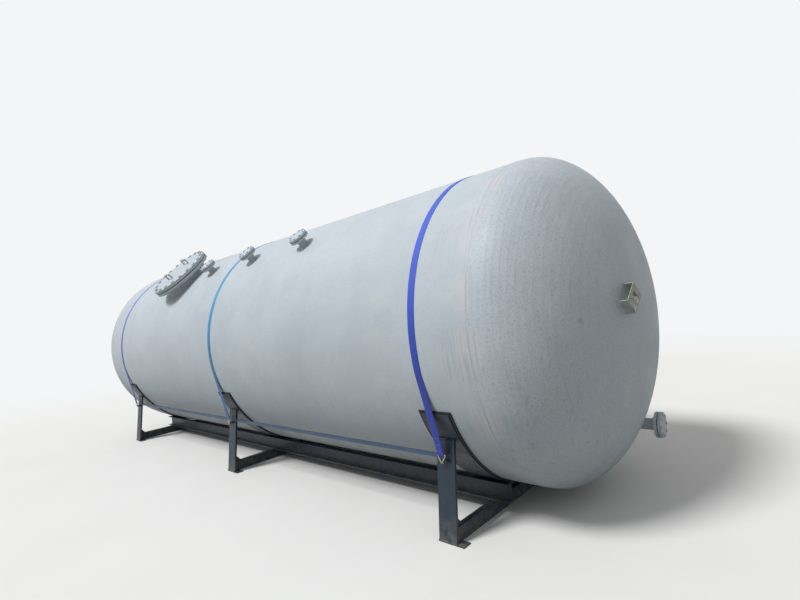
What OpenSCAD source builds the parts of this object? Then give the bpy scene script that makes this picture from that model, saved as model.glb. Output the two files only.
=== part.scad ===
// Horizontal pressure tank on a three-frame transport cradle.
// X runs along the tank towards the outlet head, Y to the back, Z up.
// The origin is under the middle cross beam, on the ground.

/* [Vessel] */
// Outside diameter of the shell
shell_od = 2600; // [2200:50:2900]
// Plate thickness of the shell and the heads
plate_t = 14; // [8:1:24]
// Length of the shell between the two head seams
shell_len = 7000; // [6400:50:7400]
// Straight flange of each dished head
head_flange = 40; // [20:5:60]
// Turn of the vessel in its cradle, towards the front
vessel_roll = 43; // [0:1:50]
// Place of the shell's middle along the cradle
tank_shift = -50; // [-150:10:150]
// Gap left round a neck for its weld
weld_gap = 0.5; // [0.3:0.1:1]

/* [Manway] */
// Distance of the manway's axis from the shell seam behind it
manway_seam = 360; // [350:5:600]
// Outside diameter of the manway neck
manway_neck_od = 630; // [500:10:700]
// Wall of the manway neck
manway_neck_t = 12; // [8:1:20]
// Height of the manway face above the shell
manway_rise = 113; // [90:1:160]
// Width of the manway flange and cover beyond the neck, each side
manway_rim = 105; // [80:5:130]
// Thickness of the manway flange
manway_flange_t = 36; // [24:1:50]
// Thickness of the manway cover
manway_cover_t = 36; // [24:1:50]
// Thickness of the manway gasket
manway_gasket_t = 4; // [2:1:6]
// Bolt holes in the manway flange
manway_bolts = 20; // [12:4:28]
// Diameter of the manway bolt holes
manway_hole_d = 36; // [26:1:40]
// Distance of the cover handles from the cover's middle
handle_offset = 155; // [110:5:200]
// Rod diameter of the cover handles
handle_d = 20; // [14:1:26]
// Height of the cover handles
handle_h = 70; // [50:5:90]
// Width of the cover handles
handle_w = 130; // [90:5:160]

/* [Nozzles] */
// Outside diameter of a nozzle pipe
pipe_od = 89; // [76:1:108]
// Wall of a nozzle pipe
pipe_t = 4.5; // [3:0.5:8]
// Width of a nozzle flange beyond its pipe, each side
pipe_rim = 55.5; // [50:0.5:65]
// Thickness of a nozzle flange
pipe_flange_t = 20; // [14:1:28]
// Thickness of a nozzle's blind cover
blind_t = 20; // [12:1:28]
// Thickness of a nozzle gasket
pipe_gasket_t = 2; // [1:0.5:4]
// Bolt holes in a nozzle flange
pipe_bolts = 8; // [4:4:8]
// Diameter of the nozzle bolt holes
pipe_hole_d = 18; // [14:1:20]
// Height of the flange face of a top nozzle above the shell
nozzle_rise = 94; // [80:1:140]
// Distance from the manway's axis to the first top nozzle's
nozzle_gap = 810; // [600:10:900]
// Distance between two top nozzles
nozzle_pitch = 990; // [800:10:1050]
// Distance of the outlet's axis inside the shell's outer surface
outlet_inset = 320; // [220:1:400]
// Turn of the outlet from straight down, towards the back
outlet_turn = 22; // [0:1:45]
// Length of the outlet neck outside the head, on its axis
outlet_rise = 125; // [70:1:160]

/* [Marking plate bracket] */
// Width of the bracket between its legs
bracket_w = 165; // [140:5:230]
// Height of the bracket
bracket_h = 125; // [100:5:200]
// Plate thickness of the bracket
bracket_t = 4; // [3:1:6]
// Distance of the bracket's face from the head
bracket_rise = 65; // [50:5:110]
// Height of the bracket's middle above the tank's axis, before the turn
bracket_up = 345; // [300:1:500]
// Sideways place of the bracket's middle, before the turn
bracket_side = -196; // [-350:1:350]
// Width of each of the two windows
window_w = 44; // [30:1:60]
// Height of the windows
window_h = 80; // [60:1:100]
// Bar between the windows
window_bar = 24; // [10:1:40]
// Sideways place of the bar's middle from the bracket's middle
window_side = -18; // [-22:1:20]
// Place of the windows' middle below the bracket's middle
window_drop = 8; // [0:1:12]

/* [Cradle] */
// Distance of the outer frames from the ends of the cylindrical shell
frame_inset = 450; // [350:10:700]
// Height of the cross beams
cross_h = 100; // [80:5:140]
// Width of the cross beams
cross_w = 48; // [40:1:60]
// Height of the long beams
long_h = 140; // [100:5:160]
// Width of the long beams
long_w = 58; // [48:1:70]
// Length of the long beams beyond the outer frames
long_over = 180; // [100:5:260]
// Web of all channels
web_t = 6; // [5:0.5:8]
// Flange thickness of all channels
lip_t = 9; // [7:0.5:11]
// Width of the posts
post_w = 150; // [130:5:180]
// Thickness of the posts
post_t = 20; // [18:1:30]
// Lean of the posts
post_splay = 7; // [3:0.5:12]
// Angle below the tank's widest line at which the posts end
post_drop = 34; // [30:1:40]
// Distance of a post's outer face from the saddle, at its top
post_gap = 16; // [12:1:17]
// Place of the outer cross beams from the middle of their posts, towards the tank's ends
cross_shift = 40; // [0:1:45]
// Reach of the foot plates beyond the posts, towards the outlet head
foot_over = 60; // [20:5:90]
// Depth of a foot plate across the tank
foot_d = 80; // [60:5:180]
// Thickness of the foot plates
foot_t = 8; // [5:1:12]
// Distance of a foot plate's edge outside its post
foot_toe = 5; // [2:1:30]
// Leg of the gusset in each foot
gusset_leg = 90; // [60:5:120]
// Thickness of the gussets
gusset_t = 8; // [6:1:12]

/* [Saddles] */
// Width of the saddle bands
band_w = 240; // [230:5:320]
// Thickness of the saddle bands
band_t = 6; // [5:0.5:12]
// Angle below the tank's widest line at which the saddles end
band_drop = 24; // [20:1:27]
// Thickness of the rubber under the tank
rubber_t = 10; // [6:1:16]
// Width of the rubber beyond the band, each side
rubber_over = 20; // [4:1:28]
// Length of the rubber beyond each end of the band
rubber_end = 14; // [2:1:24]

/* [Tie bars] */
// Height of the top of the tie bars above the ground
tie_h = 575; // [560:5:620]
// Leg of the angle that the tie bars are made from
tie_leg = 25; // [20:1:50]
// Thickness of the tie bars
tie_t = 4; // [3:0.5:6]

/* [Straps] */
// Width of the lashing straps
strap_w = 60; // [35:1:75]
// Thickness of the lashing straps
strap_t = 3; // [2:0.5:4]
// Place of a strap on the tank from the middle of its frame
strap_shift = -40; // [-45:1:45]
// Height of the lashing rings above the ground
ring_h = 540; // [500:5:560]
// Place of a lashing ring from the middle of its post
ring_shift = 0; // [-20:1:20]
// Rod diameter of the lashing rings
ring_d = 14; // [10:1:18]
// Inside width of the lashing rings
ring_w = 46; // [36:1:50]
// Wire diameter of the strap hooks
hook_d = 9; // [6:1:12]
// Distance from a lashing ring to the end of its strap
hook_len = 55; // [45:5:120]
// Distance of a ratchet from where its strap leaves the tank
ratchet_drop = 70; // [65:1:85]
// Length of a ratchet
ratchet_len = 110; // [90:1:120]

/* [Hidden] */
$fn = 144;

tank_grey = [0.79, 0.81, 0.83];
cradle_blue = [0.17, 0.22, 0.27];
rubber_black = [0.06, 0.06, 0.06];
strap_blues = [[0.16, 0.20, 0.62], [0.10, 0.55, 0.80], [0.25, 0.25, 0.60]];
zinc = [0.66, 0.66, 0.62];
seal_grey = [0.20, 0.20, 0.21];

courses = 4;
course_len = shell_len / courses;
shell_r = shell_od / 2;
manway_x = manway_seam - course_len;
nozzle_x = manway_x + nozzle_gap;
outlet_offset = shell_r - outlet_inset;
frame_pitch = shell_len / 2 - frame_inset;
head_x = shell_len / 2 + head_flange;
head_rise = shell_od / 4;
head_steps = 24;

rubber_r = shell_r + rubber_t;
rubber_drop = band_drop - 180 * rubber_end / (PI * rubber_r);
band_r = rubber_r + band_t;
axis_z = cross_h + band_r;
frame_x = [frame_pitch, 0, -frame_pitch];

post_top_z = axis_z - band_r * sin(post_drop);
post_top_y = band_r * cos(post_drop) + post_gap;
foot_y = post_top_y + post_top_z * tan(post_splay);
long_y = sqrt(pow(band_r, 2) - pow(axis_z - cross_h - long_h, 2));

pipe_r = pipe_od / 2;
pipe_flange_r = pipe_r + pipe_rim;
pipe_bolt_r = pipe_flange_r - 20;
pipe_face_r = pipe_bolt_r - pipe_hole_d / 2 - 3;
manway_r = manway_neck_od / 2;
manway_flange_r = manway_r + manway_rim;
manway_bolt_r = manway_flange_r - 35;
manway_face_r = manway_bolt_r - manway_hole_d / 2 - 7;
raised_t = 3;
neck_inside = 6;
manway_face_z = shell_r + manway_rise;
nozzle_face_z = shell_r + nozzle_rise;

strap_clear = 0.3;
strap_step = 0.2;
hook_clear = 1.2;
cheek_t = 3;
cheek_h = 34;
spool_r = 8;
strap_r = shell_r + strap_clear;
strap_out_r = strap_r + strap_t;
ring_reach = ring_w / 2 + ring_d / 2;
ring_y = foot_y - ring_h * tan(post_splay) + ring_reach * cos(post_splay);
ring_z = ring_h + ring_reach * sin(post_splay);
ring_dist = norm([ring_y, axis_z - ring_z]);
ring_angle = atan2(axis_z - ring_z, ring_y);
leave_angle = ring_angle - acos((strap_r + strap_t / 2) / ring_dist);
run_down = sqrt(pow(ring_dist, 2) - pow(strap_r + strap_t / 2, 2));
run_lean = atan((ring_shift - strap_shift) / run_down);
run_len = run_down / cos(run_lean);

// A tube along X from x0
module tube_x(x0, len, r_out, r_in) {
    translate([x0, 0, 0])
    rotate([0, 90, 0])
    difference() {
        cylinder(h = len, r = r_out);
        translate([0, 0, -1])
        cylinder(h = len + 2, r = r_in);
    }
}

// An arc of a ring round the X axis, with its angles measured from +Y towards +Z
module arc_x(x0, width, r_in, r_out, from, to) {
    translate([x0, 0, 0])
    rotate([90, 0, 90])
    rotate([0, 0, from])
    rotate_extrude(angle = to - from)
    translate([r_in, 0])
    square([r_out - r_in, width]);
}

// A channel along Z, with its web's outer face on Y = 0 and its flanges towards +Y
module channel(width, depth, len) {
    linear_extrude(len)
    difference() {
        translate([-width / 2, 0])
        square([width, depth]);
        translate([-width / 2 + lip_t, web_t])
        square([width - 2 * lip_t, depth]);
    }
}

// A round rod from point p to point q
module rod(p, q, r) {
    d = q - p;
    translate(p)
    rotate([0, acos(d[2] / norm(d)), atan2(d[1], d[0])])
    cylinder(h = norm(d), r = r, $fn = 32);
}

module place_vessel() {
    translate([tank_shift, 0, axis_z])
    rotate([vessel_roll, 0, 0])
    children();
}

// Puts its child on the front when side is 1 and on the back when side is -1
module on_side(side) {
    if (side > 0) children();
    else mirror([0, 1, 0]) children();
}

module bolt_holes(count, r_circle, r_hole, z0, len) {
    for (i = [0 : count - 1])
        rotate([0, 0, (i + 0.5) * 360 / count])
        translate([r_circle, 0, z0])
        cylinder(h = len, r = r_hole, $fn = 32);
}

// Half the head's section, outer curve first, then the inner one
function dish(grow) = [
    for (i = [0 : head_steps])
        let (a = 90 * i / head_steps)
        [(shell_r + grow) * cos(a), head_flange + (head_rise + grow) * sin(a)]
];

module head_skin(grow_out, grow_in) {
    outer = dish(grow_out);
    inner = dish(grow_in);
    rotate_extrude()
    polygon(concat(
        [[shell_r + grow_out, 0]], outer,
        [for (i = [head_steps : -1 : 0]) inner[i]],
        [[shell_r + grow_in, 0]]
    ));
}

// The space that the head fills, as one solid without its straight flange
module head_solid() {
    rotate_extrude()
    polygon(concat([[0, 0], [shell_r, 0]], dish(0)));
}

module to_outlet_end() {
    translate([shell_len / 2, 0, 0])
    rotate([0, 90, 0])
    children();
}

module shell_holes() {
    translate([manway_x, 0, 0])
    cylinder(h = shell_r + 20, r = manway_r + weld_gap);
    for (i = [0 : 2])
        translate([nozzle_x + i * nozzle_pitch, 0, 0])
        cylinder(h = shell_r + 20, r = pipe_r + weld_gap);
}

module shell_course(i) {
    color(tank_grey)
    place_vessel()
    difference() {
        tube_x(-shell_len / 2 + i * course_len, course_len, shell_r, shell_r - plate_t);
        shell_holes();
    }
}

// Runs along X through the outlet's own axis, outside the turn of the vessel
module place_outlet() {
    translate([tank_shift, 0, axis_z])
    rotate([outlet_turn, 0, 0])
    translate([0, 0, -outlet_offset])
    children();
}

module outlet_head() {
    color(tank_grey)
    difference() {
        place_vessel()
        to_outlet_end()
        head_skin(0, -plate_t);
        place_outlet()
        translate([shell_len / 2, 0, 0])
        rotate([0, 90, 0])
        cylinder(h = head_flange + head_rise, r = pipe_r + weld_gap);
    }
}

module far_head() {
    color(tank_grey)
    place_vessel()
    mirror([1, 0, 0])
    to_outlet_end()
    head_skin(0, -plate_t);
}

module manway_neck() {
    z0 = sqrt(pow(shell_r - plate_t, 2) - pow(manway_r, 2)) - neck_inside;
    color(tank_grey)
    place_vessel()
    translate([manway_x, 0, z0])
    difference() {
        cylinder(h = manway_face_z - raised_t - z0, r = manway_r);
        translate([0, 0, -1])
        cylinder(h = manway_face_z, r = manway_r - manway_neck_t);
    }
}

module manway_flange() {
    z0 = manway_face_z - raised_t - manway_flange_t;
    color(tank_grey)
    place_vessel()
    translate([manway_x, 0, z0])
    difference() {
        union() {
            cylinder(h = manway_flange_t, r = manway_flange_r);
            cylinder(h = manway_flange_t + raised_t, r = manway_face_r);
        }
        translate([0, 0, -1])
        cylinder(h = manway_flange_t + raised_t + 2, r = manway_r + weld_gap);
        bolt_holes(manway_bolts, manway_bolt_r, manway_hole_d / 2, -1, manway_flange_t + 2);
    }
}

module manway_gasket() {
    color(seal_grey)
    place_vessel()
    translate([manway_x, 0, manway_face_z])
    difference() {
        cylinder(h = manway_gasket_t, r = manway_face_r);
        translate([0, 0, -1])
        cylinder(h = manway_gasket_t + 2, r = manway_r + weld_gap);
    }
}

// A bow of round rod, standing on its own two legs
module bow(w, h, r) {
    for (side = [-1, 1])
        translate([side * w / 2, 0, 0])
        cylinder(h = h, r = r, $fn = 32);
    for (side = [-1, 1])
        translate([side * w / 2, 0, h])
        sphere(r = r, $fn = 32);
    translate([-w / 2, 0, h])
    rotate([0, 90, 0])
    cylinder(h = w, r = r, $fn = 32);
}

module manway_cover() {
    z0 = manway_face_z + manway_gasket_t;
    color(tank_grey)
    place_vessel()
    translate([manway_x, 0, z0]) {
        difference() {
            union() {
                cylinder(h = raised_t, r = manway_face_r);
                translate([0, 0, raised_t])
                cylinder(h = manway_cover_t, r = manway_flange_r);
            }
            bolt_holes(manway_bolts, manway_bolt_r, manway_hole_d / 2, raised_t - 1, manway_cover_t + 2);
        }
        for (side = [-1, 1])
            translate([0, side * handle_offset, raised_t + manway_cover_t])
            bow(handle_w, handle_h, handle_d / 2);
    }
}

// A pipe with its flange, along +Z, with the flange's face at z_face
module pipe_nozzle(z_in, z_face) {
    difference() {
        union() {
            translate([0, 0, z_in])
            cylinder(h = z_face - z_in, r = pipe_r);
            translate([0, 0, z_face - raised_t - pipe_flange_t])
            cylinder(h = pipe_flange_t, r = pipe_flange_r);
            translate([0, 0, z_face - raised_t - pipe_flange_t])
            cylinder(h = pipe_flange_t + raised_t, r = pipe_face_r);
        }
        translate([0, 0, z_in - 1])
        cylinder(h = z_face - z_in + 2, r = pipe_r - pipe_t);
        bolt_holes(pipe_bolts, pipe_bolt_r, pipe_hole_d / 2,
            z_face - raised_t - pipe_flange_t - 1, pipe_flange_t + 2);
    }
}

// A blind cover with its own raised face and gasket, on a face at z = 0
module pipe_blind() {
    difference() {
        union() {
            cylinder(h = pipe_gasket_t + raised_t, r = pipe_face_r);
            translate([0, 0, pipe_gasket_t + raised_t])
            cylinder(h = blind_t, r = pipe_flange_r);
        }
        bolt_holes(pipe_bolts, pipe_bolt_r, pipe_hole_d / 2,
            pipe_gasket_t + raised_t - 1, blind_t + 2);
    }
}

module top_nozzle(i) {
    z_in = sqrt(pow(shell_r - plate_t, 2) - pow(pipe_r, 2)) - neck_inside;
    color(tank_grey)
    place_vessel()
    translate([nozzle_x + i * nozzle_pitch, 0, 0])
    pipe_nozzle(z_in, nozzle_face_z);
}

module top_blind(i) {
    color(tank_grey)
    place_vessel()
    translate([nozzle_x + i * nozzle_pitch, 0, nozzle_face_z])
    pipe_blind();
}

// Where the head's outer and inner surface lie on the outlet's axis
outlet_skin_x = head_x + head_rise * sqrt(1 - pow(outlet_offset / shell_r, 2));
outlet_edge_x = head_x + (head_rise - plate_t)
    * sqrt(1 - pow((outlet_offset + pipe_r) / (shell_r - plate_t), 2));
outlet_face_x = outlet_skin_x + outlet_rise;

module outlet_nozzle() {
    color(tank_grey)
    place_outlet()
    rotate([0, 90, 0])
    pipe_nozzle(outlet_edge_x - neck_inside, outlet_face_x);
}

module outlet_blind() {
    color(tank_grey)
    place_outlet()
    translate([outlet_face_x, 0, 0])
    rotate([0, 90, 0])
    pipe_blind();
}

bracket_offset = norm([bracket_up, bracket_side]);
bracket_x = head_x + head_rise * sqrt(1 - pow(bracket_offset / shell_r, 2));
window_step = (window_w + window_bar) / 2;
bracket_lean = atan2(head_rise * bracket_offset, shell_r * sqrt(pow(shell_r, 2) - pow(bracket_offset, 2)));

module plate_bracket() {
    color(tank_grey)
    place_vessel()
    difference() {
        translate([bracket_x, bracket_side, bracket_up])
        rotate(a = bracket_lean, v = [0, -bracket_up, bracket_side])
        translate([bracket_rise, 0, 0])
        union() {
            difference() {
                translate([-bracket_t, -bracket_w / 2, -bracket_h / 2])
                cube([bracket_t, bracket_w, bracket_h]);
                for (side = [-1, 1])
                    translate([-bracket_t - 1, window_side + side * window_step - window_w / 2,
                        -window_drop - window_h / 2])
                    cube([bracket_t + 2, window_w, window_h]);
            }
            for (side = [-1, 1])
                translate([-2 * bracket_rise, side * (bracket_w - bracket_t) / 2 - bracket_t / 2,
                    -bracket_h / 2])
                cube([2 * bracket_rise, bracket_t, bracket_h]);
        }
        translate([shell_len / 2, 0, 0])
        rotate([0, 90, 0])
        head_solid();
    }
}

// The outer side of a front post's inner face, as a large block in the post's own lean
module outside_post(x) {
    translate([x, -foot_y, 0])
    rotate([-post_splay, 0, 0])
    translate([-post_w, post_t - 400, -200])
    cube([2 * post_w, 400, post_top_z + 400]);
}

// The middle cross beam lies amid its posts, the outer ones stand towards the tank's ends
function beam_x(x) = x + sign(x) * cross_shift;

module cross_beam(x) {
    color(cradle_blue)
    difference() {
        translate([beam_x(x) + cross_w / 2, -foot_y, cross_h / 2])
        rotate([-90, 90, 0])
        channel(cross_h, cross_w, 2 * foot_y);
        for (side = [-1, 1])
            on_side(side)
            outside_post(x);
    }
}

function inner_y(z) = -foot_y + post_t / cos(post_splay) + z * tan(post_splay);

module gusset(x) {
    translate([beam_x(x) - gusset_t / 2, 0, 0])
    rotate([90, 0, 90])
    linear_extrude(gusset_t)
    polygon([
        [inner_y(cross_h) - 1, cross_h],
        [inner_y(cross_h) + gusset_leg, cross_h],
        [inner_y(cross_h + gusset_leg), cross_h + gusset_leg],
        [inner_y(cross_h + gusset_leg) - 1, cross_h + gusset_leg]
    ]);
}

module foot_plate(x) {
    difference() {
        translate([x - post_w / 2, -foot_y - foot_toe, 0])
        cube([post_w + foot_over, foot_d, foot_t]);
        translate([beam_x(x) - cross_w / 2, inner_y(0) - 0.5, -1])
        cube([cross_w, foot_d, foot_t + 2]);
    }
}

module lashing_ring(x) {
    translate([x + ring_shift, -foot_y, 0])
    rotate([-post_splay, 0, 0])
    translate([0, 1, ring_h / cos(post_splay)])
    rotate([90, 0, 0])
    bow(ring_w + ring_d, ring_reach + 1, ring_d / 2);
}

module front_post(x) {
    color(cradle_blue) {
        difference() {
            intersection() {
                translate([x, -foot_y, 0])
                rotate([-post_splay, 0, 0])
                translate([-post_w / 2, 0, -100])
                cube([post_w, post_t, post_top_z + 200]);
                translate([x - post_w, -2 * foot_y, foot_t])
                cube([2 * post_w, 2 * foot_y, post_top_z - foot_t]);
            }
            translate([x - post_w, 0, axis_z])
            rotate([0, 90, 0])
            cylinder(h = 2 * post_w, r = band_r);
        }
        gusset(x);
        foot_plate(x);
        lashing_ring(x);
    }
}

module back_post(x) {
    mirror([0, 1, 0])
    front_post(x);
}

module saddle(x) {
    color(cradle_blue)
    translate([0, 0, axis_z])
    arc_x(x - band_w / 2, band_w, rubber_r, band_r, 180 + band_drop, 360 - band_drop);
}

module rubber(x) {
    color(rubber_black)
    translate([0, 0, axis_z])
    arc_x(x - band_w / 2 - rubber_over, band_w + 2 * rubber_over, shell_r, rubber_r,
        180 + rubber_drop, 360 - rubber_drop);
}

module long_beam(side) {
    color(cradle_blue)
    on_side(side)
    translate([-frame_pitch - long_over, -long_y, cross_h + long_h / 2])
    rotate([180, -90, 0])
    channel(long_h, long_w, 2 * (frame_pitch + long_over));
}

module tie_bar(side) {
    bar_y = -foot_y + tie_h * tan(post_splay) + web_t;
    color(cradle_blue)
    on_side(side)
    for (x = [0, -frame_pitch])
        translate([x + post_w / 2, bar_y, tie_h])
        rotate([90, 0, 90])
        linear_extrude(frame_pitch - post_w)
        polygon([
            [0, 0], [tie_leg, 0], [tie_leg, -tie_t],
            [tie_t, -tie_t], [tie_t, -tie_leg], [0, -tie_leg]
        ]);
}

// Puts its child on a strap's front run: X across it, Y away from the tank, Z down the run
module on_run(x) {
    translate([x + strap_shift, 0, axis_z])
    rotate([180 + leave_angle, 0, 0])
    translate([0, strap_r + strap_t / 2, 0])
    rotate([0, run_lean, 0])
    children();
}

module strap(i) {
    x = frame_x[i];
    bare_len = run_len - hook_len;
    color(strap_blues[i]) {
        translate([0, 0, axis_z])
        arc_x(x + strap_shift - strap_w / 2, strap_w, strap_r, strap_out_r,
            -leave_angle, 180 + leave_angle);
        for (side = [-1, 1])
            on_side(side)
            on_run(x)
            translate([strap_step - strap_w / 2, strap_step - strap_t / 2, -8])
            cube([strap_w - 2 * strap_step, strap_t - 2 * strap_step, bare_len + 8]);
    }
}

// The wire hook between a strap's end and its lashing ring
module wire_hook(x) {
    bar_r = hook_d / 2 + 1;
    bar_z = run_len - hook_len + bar_r + strap_clear;
    bend_r = ring_d / 2 + hook_d / 2 + hook_clear;
    bend_x = hook_d / 2 + 2;
    on_run(x) {
        rod([-strap_w / 2 - 4, 0, bar_z], [strap_w / 2 + 4, 0, bar_z], bar_r);
        for (side = [-1, 1]) {
            rod([side * strap_w / 2, 0, bar_z], [side * bend_x, bend_r, run_len], hook_d / 2);
            translate([side * bend_x, bend_r, run_len])
            sphere(r = hook_d / 2 + 0.7, $fn = 32);
            translate([side * bend_x, 0, run_len])
            rotate([90, 0, 90])
            rotate_extrude(angle = 180, $fn = 48)
            translate([bend_r, 0])
            circle(r = hook_d / 2, $fn = 32);
        }
    }
}

module ratchet(i, side) {
    x = frame_x[i];
    color(zinc) {
        on_side(side)
        on_run(x)
        translate([0, strap_t / 2 + strap_clear, ratchet_drop]) {
            translate([-strap_w / 2 - 4, 0, 0])
            cube([strap_w + 8, cheek_t, ratchet_len]);
            for (edge = [-1, 1])
                translate([edge * (strap_w / 2 + 4) - cheek_t / 2, 0, 0])
                cube([cheek_t, cheek_h, ratchet_len]);
            for (place = [0.25, 0.7])
                translate([-strap_w / 2 - 9, cheek_h * 0.55, ratchet_len * place])
                rotate([0, 90, 0])
                cylinder(h = strap_w + 18, r = spool_r, $fn = 32);
        }
        for (edge = [-1, 1])
            on_side(edge)
            wire_hook(x);
    }
}

shell_course(0);  // shell_course_1
shell_course(1);  // shell_course_2
shell_course(2);  // shell_course_3
shell_course(3);  // shell_course_4
outlet_head();
far_head();
manway_neck();
manway_flange();
manway_gasket();
manway_cover();
top_nozzle(0);  // top_nozzle_1
top_nozzle(1);  // top_nozzle_2
top_nozzle(2);  // top_nozzle_3
top_blind(0);  // top_blind_1
top_blind(1);  // top_blind_2
top_blind(2);  // top_blind_3
outlet_nozzle();
outlet_blind();
plate_bracket();
cross_beam(frame_x[0]);  // near_cross_beam
cross_beam(frame_x[1]);  // middle_cross_beam
cross_beam(frame_x[2]);  // far_cross_beam
saddle(frame_x[0]);  // near_saddle
saddle(frame_x[1]);  // middle_saddle
saddle(frame_x[2]);  // far_saddle
rubber(frame_x[0]);  // near_rubber
rubber(frame_x[1]);  // middle_rubber
rubber(frame_x[2]);  // far_rubber
front_post(frame_x[0]);  // near_front_post
front_post(frame_x[1]);  // middle_front_post
front_post(frame_x[2]);  // far_front_post
back_post(frame_x[0]);  // near_back_post
back_post(frame_x[1]);  // middle_back_post
back_post(frame_x[2]);  // far_back_post
long_beam(1);  // front_long_beam
long_beam(-1);  // back_long_beam
tie_bar(1);  // front_tie_bar
tie_bar(-1);  // back_tie_bar
strap(0);  // near_strap
strap(1);  // middle_strap
strap(2);  // far_strap
ratchet(0, -1);  // near_ratchet
ratchet(1, -1);  // middle_ratchet
ratchet(2, -1);  // far_ratchet
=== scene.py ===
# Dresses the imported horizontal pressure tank: paint, welds, nuts, webbing, ratchets and rubber
import bpy
import bmesh
import random
from functools import partial
from math import acos, atan, atan2, copysign, cos, hypot, pi, radians, sin, sqrt, tan
from mathutils import Matrix, Vector


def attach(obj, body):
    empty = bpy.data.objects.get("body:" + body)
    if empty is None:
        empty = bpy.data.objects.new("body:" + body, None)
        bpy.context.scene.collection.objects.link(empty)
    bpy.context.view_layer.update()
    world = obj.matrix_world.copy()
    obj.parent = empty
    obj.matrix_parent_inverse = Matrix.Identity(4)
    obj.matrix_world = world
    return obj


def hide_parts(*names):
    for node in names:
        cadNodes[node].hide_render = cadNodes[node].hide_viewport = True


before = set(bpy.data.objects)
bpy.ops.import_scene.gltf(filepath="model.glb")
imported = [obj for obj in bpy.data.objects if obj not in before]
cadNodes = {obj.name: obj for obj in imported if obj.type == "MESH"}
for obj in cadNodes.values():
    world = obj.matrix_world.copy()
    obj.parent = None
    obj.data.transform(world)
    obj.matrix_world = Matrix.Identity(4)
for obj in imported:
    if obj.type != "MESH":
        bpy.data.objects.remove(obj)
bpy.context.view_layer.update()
chance = random.Random(11)
print("frame loaded,", len(cadNodes), "nodes")

# Sizes that several pieces share, in metres and degrees, as in the part's source
tank = dict(radius=1.3, axisZ=1.416, shift=-0.05, half=3.5, flange=0.04, headRise=0.65, roll=43)
cradle = dict(
    frames={"near": 3.05, "middle": 0.0, "far": -3.05}, beamShift=0.04, footY=1.19052, splay=7,
    bandR=1.316, rubberR=1.31, postW=0.15, postT=0.02, postDrop=34, beamTop=0.1, beamW=0.048, footT=0.008,
    longBeamY=(0.5907, 0.6487))
lashing = dict(
    shift=-0.04, width=0.06, thick=0.003, woven=0.0026, inner=1.3003, ringH=0.54, ringReach=0.03,
    ringD=0.014, ringW=0.046, hookLen=0.055, hookBar=0.0058, wire=0.009, runSteps=22, arcSteps=210)

# the vessel's own frame: X along the tank, Z through the manway
onAxis = Matrix.Translation((tank["shift"], 0, tank["axisZ"]))
vessel = onAxis @ Matrix.Rotation(radians(tank["roll"]), 4, "X")
vesselTurn = vessel.to_3x3()
headX = tank["half"] + tank["flange"]


def circle(steps, turn=0.0):
    # evenly spaced angles of one full turn
    return [2 * pi * (k + turn) / steps for k in range(steps)]


def tubeFaces(rings, sides):
    # faces between rings of points, with a cap at both ends
    faces = []
    for i in range(rings - 1):
        for k in range(sides):
            m = (k + 1) % sides
            faces.append((i * sides + k, i * sides + m, (i + 1) * sides + m, (i + 1) * sides + k))
    faces.append(tuple(reversed(range(sides))))
    faces.append(tuple(range((rings - 1) * sides, rings * sides)))
    return faces


def revolved(profile, sides, place, turn=0.0):
    # closed solid from (radius, height) pairs
    angles = circle(sides, turn)
    verts = [place @ Vector((r * cos(a), r * sin(a), z)) for r, z in profile for a in angles]
    return verts, tubeFaces(len(profile), sides)


def rodAlong(points, radius, sides):
    # round bar bent along the points, with closed ends
    verts = []
    side = (points[1] - points[0]).orthogonal().normalized()
    for i, p in enumerate(points):
        ahead = (points[min(i + 1, len(points) - 1)] - points[max(i - 1, 0)]).normalized()
        side = (side - ahead * side.dot(ahead)).normalized()
        up = ahead.cross(side)
        verts += [p + side * cos(a) * radius + up * sin(a) * radius for a in circle(sides)]
    return verts, tubeFaces(len(points), sides)


def plateOf(outline, thick, place):
    # flat plate from its outline, standing up along Z by its thickness
    verts = [place @ Vector((x, y, z)) for z in (0, thick) for x, y in outline]
    return verts, tubeFaces(2, len(outline))


# how a bead is drawn: columns across it, how unevenly it lies, the depth and lag of its ripples, how deep
# it sinks in, and how high its crown stands for its leg
bead = dict(
    across=6, wobble=0.12, ripple=0.3, lag=0.45, sink=0.08, crown=0.22, neckCrown=0.25, eyeCrown=0.2404)


def weldBead(stations, pitch, closed=False):
    # stations are (corner, legA, legB, out): the bead spans from corner + legA to corner + legB
    verts, faces = [], []
    across = bead["across"]
    run, last = 0.0, None
    for corner, legA, legB, out in stations:
        run += (corner - last).length if last else 0.0
        last = corner
        grow = 1 + chance.uniform(-bead["wobble"], bead["wobble"])
        for k in range(across + 1):
            t = k / across
            crown = 4 * t * (1 - t)
            ripple = 1 + bead["ripple"] * cos(2 * pi * (run / pitch - bead["lag"] * crown))
            lift = out * (crown * ripple - bead["sink"])
            verts.append(corner + legA * (1 - t) * grow + legB * t * grow + lift)
    rows = len(stations)
    for i in range(rows if closed else rows - 1):
        j = (i + 1) % rows
        for k in range(across):
            a, b = i * (across + 1) + k, j * (across + 1) + k
            faces.append((a, a + 1, b + 1, b))
    a, b, c = (verts[f] for f in faces[across // 2][:3])
    if (b - a).cross(c - b).dot(stations[0][3]) < 0:
        faces = [tuple(reversed(f)) for f in faces]
    return verts, faces


def ringBead(centre, radius, legA, legB, pitch, place, steps, crown=bead["crown"]):
    # bead round a circle: legA points outwards in the circle's plane, legB along its axis
    turn = place.to_3x3()
    stations = []
    for a in circle(steps):
        radial = Vector((cos(a), sin(a), 0))
        corner = place @ (Vector(centre) + radial * radius)
        outA, outB = turn @ (radial * legA), turn @ Vector((0, 0, legB))
        stations.append((corner, outA, outB, (outA + outB).normalized() * abs(legA) * crown))
    return weldBead(stations, pitch, closed=True)


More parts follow.
